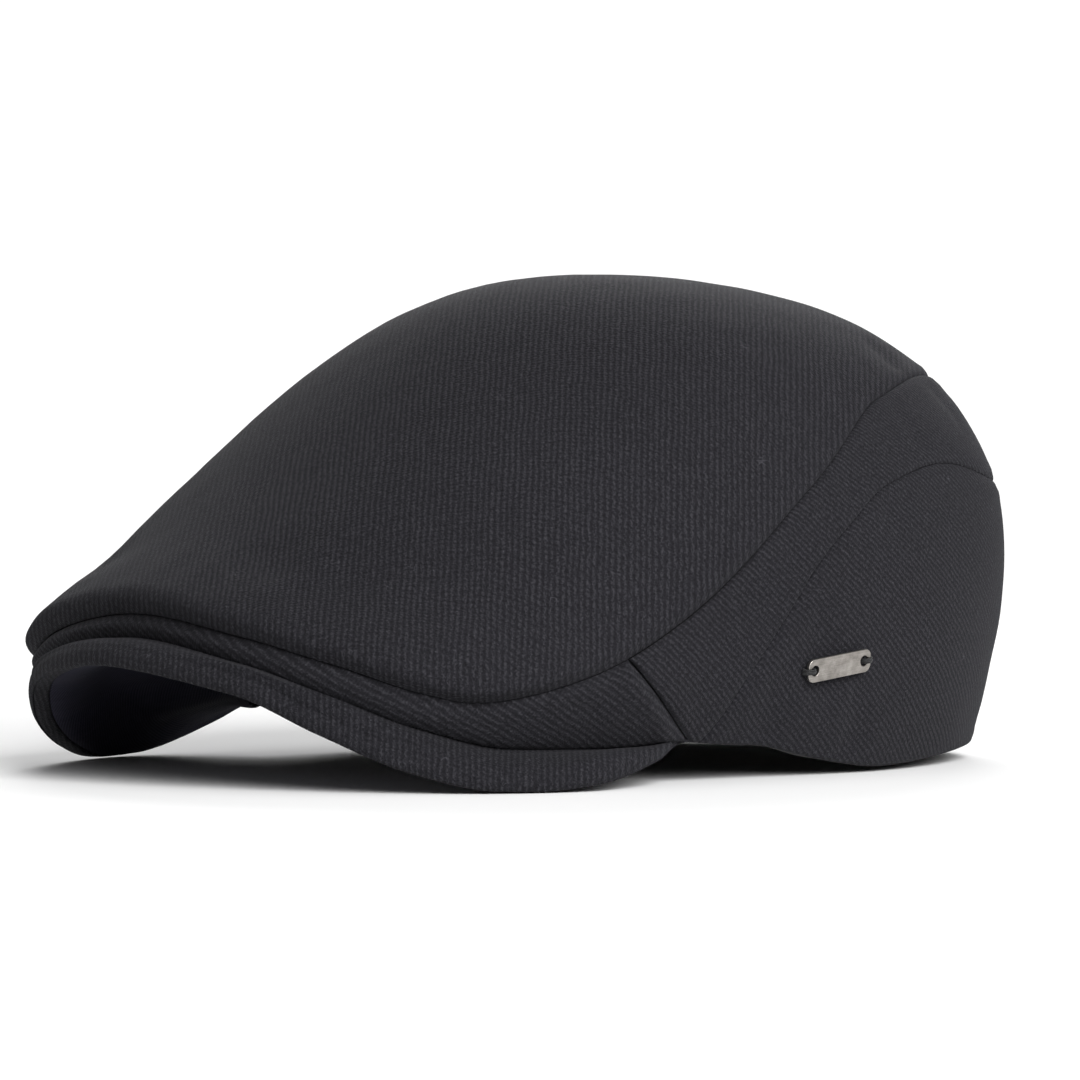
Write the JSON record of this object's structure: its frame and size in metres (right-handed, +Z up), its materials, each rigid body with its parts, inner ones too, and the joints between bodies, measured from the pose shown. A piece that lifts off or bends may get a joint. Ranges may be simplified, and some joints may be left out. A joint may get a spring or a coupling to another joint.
{
  "type": "newsboy cap",
  "caption": "Soft flat newsboy cap: one-piece sloping top, narrow front band, curved two-part sides, short stiffened visor, lined crown with sweatband, and a small sewn-on metal plate.",
  "frame": {"origin": "centre of the head opening, on the plane the hem and the visor rest on", "axes": "+Z up through the crown, -Y to the front over the visor, +X to the wearer's left, where the badge is"},
  "size_m": [0.1922, 0.2658, 0.1247],
  "materials": {
    "top_twill": "brushed wool-blend twill, matt, with a faint nap",
    "side_twill": "brushed wool-blend twill, matt, with a faint nap, its ribs on the diagonal",
    "band_twill": "brushed wool-blend twill, matt, with a faint nap, its ribs on the diagonal",
    "visor_twill": "brushed wool-blend twill, matt, with a faint nap",
    "visor_core": "smooth flexible sheet",
    "visor_lining": "smooth black cloth, low sheen",
    "lining_satin": "black satin lining",
    "sweatband_cloth": "black cotton twill tape",
    "elastic_web": "black knitted elastic",
    "seam_tape": "woven tape",
    "label_weave": "plain woven label, blank",
    "care_tape": "white satin tape, blank",
    "badge_metal": "warm grey, softly brushed, worn lighter at the rim",
    "stitch_thread": "black sewing thread"
  },
  "bodies": {
    "root": {"top_panel": "top_twill", "front_band": "band_twill", "side_panel_upper_left": "side_twill", "side_panel_upper_right": "side_twill", "side_panel_lower_left": "side_twill", "side_panel_lower_right": "side_twill", "visor_top_cover": "visor_twill", "visor_board": "visor_core", "visor_under_cover": "visor_lining", "lining_top": "lining_satin", "lining_side_left": "lining_satin", "lining_side_right": "lining_satin", "sweatband": "sweatband_cloth", "elastic_insert": "elastic_web", "back_seam_tape": "seam_tape", "lining_label": "label_weave", "care_label": "care_tape", "badge_plate": "badge_metal", "badge_thread_front": "stitch_thread", "badge_thread_rear": "stitch_thread"}
  },
  "joints": []
}
